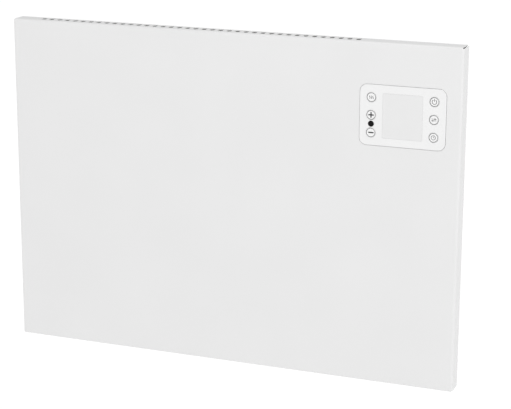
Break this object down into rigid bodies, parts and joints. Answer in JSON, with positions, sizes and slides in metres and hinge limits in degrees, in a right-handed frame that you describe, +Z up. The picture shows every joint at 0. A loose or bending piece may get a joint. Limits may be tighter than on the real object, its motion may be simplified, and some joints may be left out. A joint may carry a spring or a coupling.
{
  "type": "wall panel convector heater",
  "caption": "Slim wall panel convector heater: folded steel front with air slots, key control panel with display, rear cover with rocker switch, and a hook-on wall bracket.",
  "frame": {"origin": "centre of the wall bracket's four screw holes, on the wall plane", "axes": "+Z up, +Y to the wall, +X to the right as seen from the room; the front panel faces -Y"},
  "size_m": [0.6, 0.0799, 0.43],
  "materials": {
    "panel_paint": "fine matt powder coat",
    "cover_paint": "fine matt powder coat",
    "bracket_zinc": "zinc plated",
    "galvanised_sheet": "galvanised",
    "screw_zinc": "bright zinc",
    "foot_plastic": "fine spark-eroded texture",
    "pad_rubber": "matt",
    "fascia_plastic": "satin gloss",
    "key_plastic": "satin gloss",
    "plunger_plastic": "matt",
    "switch_body": "matt",
    "window_tint": "polished, pale grey tint",
    "module_white": "matt",
    "ir_filter": "polished, near black",
    "board_green": "solder mask",
    "foam_gasket": "closed-cell foam",
    "housing_plastic": "matt",
    "rocker_plastic": "satin",
    "contact_brass": "bright",
    "fin_aluminium": "extruded",
    "rod_steel": "drawn tube",
    "bush_ceramic": "unglazed",
    "cutout_body": "phenolic",
    "nylon": "natural",
    "relay_plastic": "satin",
    "transformer_core": "varnished",
    "capacitor_box": "satin",
    "terminal_plastic": "matt",
    "mains_plastic": "matt",
    "ribbon_pvc": "matt",
    "gland_nylon": "matt",
    "braid_sleeving": "glass braid",
    "wire_pvc": "matt"
  },
  "bodies": {
    "bracket": {"wall_bracket": "bracket_zinc"},
    "heater": {"board_terminals": "terminal_plastic", "control_board": "board_green", "control_fascia": "fascia_plastic", "control_gasket": "foam_gasket", "control_housing": "housing_plastic", "control_screws": "screw_zinc", "cord_gland": "gland_nylon", "cover_ends": "cover_paint", "cover_screws": "screw_zinc", "display_module": "module_white", "display_ribbon": "ribbon_pvc", "display_window": "window_tint", "earth_stud": "screw_zinc", "element_bushes": "bush_ceramic", "element_leads": "braid_sleeving", "element_stands": "galvanised_sheet", "film_capacitor": "capacitor_box", "front_panel": "panel_paint", "gland_nut": "gland_nylon", "heat_shield": "galvanised_sheet", "heating_fins": "fin_aluminium", "heating_rod": "rod_steel", "inner_screws": "screw_zinc", "ir_lens": "ir_filter", "ir_receiver": "switch_body", "lead_clips": "nylon", "mains_terminals": "mains_plastic", "mains_wires": "wire_pvc", "panel_stiffeners": "galvanised_sheet", "partition_grommet": "pad_rubber", "partition_wall": "galvanised_sheet", "power_board": "board_green", "power_relays": "relay_plastic", "power_standoffs": "nylon", "power_transformer": "transformer_core", "rear_cover": "cover_paint", "ribbon_socket": "mains_plastic", "rocker_frame": "housing_plastic", "rocker_tabs": "contact_brass", "room_sensor": "rod_steel", "sensor_clip": "housing_plastic", "shield_standoffs": "screw_zinc", "spacer_pads": "pad_rubber", "tactile_switches": "switch_body", "thermal_cutout": "cutout_body", "wall_spacers": "foot_plastic"},
    "rocker": {"rocker": "rocker_plastic"},
    "key_mode": {"key_mode": "key_plastic", "plunger_mode": "plunger_plastic"},
    "key_plus": {"key_plus": "key_plastic", "plunger_plus": "plunger_plastic"},
    "key_minus": {"key_minus": "key_plastic", "plunger_minus": "plunger_plastic"},
    "key_power": {"key_power": "key_plastic", "plunger_power": "plunger_plastic"},
    "key_set": {"key_set": "key_plastic", "plunger_set": "plunger_plastic"},
    "key_timer": {"key_timer": "key_plastic", "plunger_timer": "plunger_plastic"}
  },
  "joints": [
    {"name": "lift_off", "type": "slide", "parent": "bracket", "child": "heater", "axis": [0, 0, 1], "range_m": [0, 0.012]},
    {"name": "rocker_tilt", "type": "hinge", "parent": "heater", "child": "rocker", "pos_m": [0.278, -0.039, -0.22], "axis": [0, -1, 0], "range_deg": [0, 24]},
    {"name": "mode_press", "type": "slide", "parent": "heater", "child": "key_mode", "axis": [0, 1, 0], "range_m": [0, 0.0006], "stiffness_N_per_m": 1200, "springref_m": -0.001},
    {"name": "plus_press", "type": "slide", "parent": "heater", "child": "key_plus", "axis": [0, 1, 0], "range_m": [0, 0.0006], "stiffness_N_per_m": 1200, "springref_m": -0.001},
    {"name": "minus_press", "type": "slide", "parent": "heater", "child": "key_minus", "axis": [0, 1, 0], "range_m": [0, 0.0006], "stiffness_N_per_m": 1200, "springref_m": -0.001},
    {"name": "power_press", "type": "slide", "parent": "heater", "child": "key_power", "axis": [0, 1, 0], "range_m": [0, 0.0006], "stiffness_N_per_m": 1200, "springref_m": -0.001},
    {"name": "set_press", "type": "slide", "parent": "heater", "child": "key_set", "axis": [0, 1, 0], "range_m": [0, 0.0006], "stiffness_N_per_m": 1200, "springref_m": -0.001},
    {"name": "timer_press", "type": "slide", "parent": "heater", "child": "key_timer", "axis": [0, 1, 0], "range_m": [0, 0.0006], "stiffness_N_per_m": 1200, "springref_m": -0.001}
  ]
}
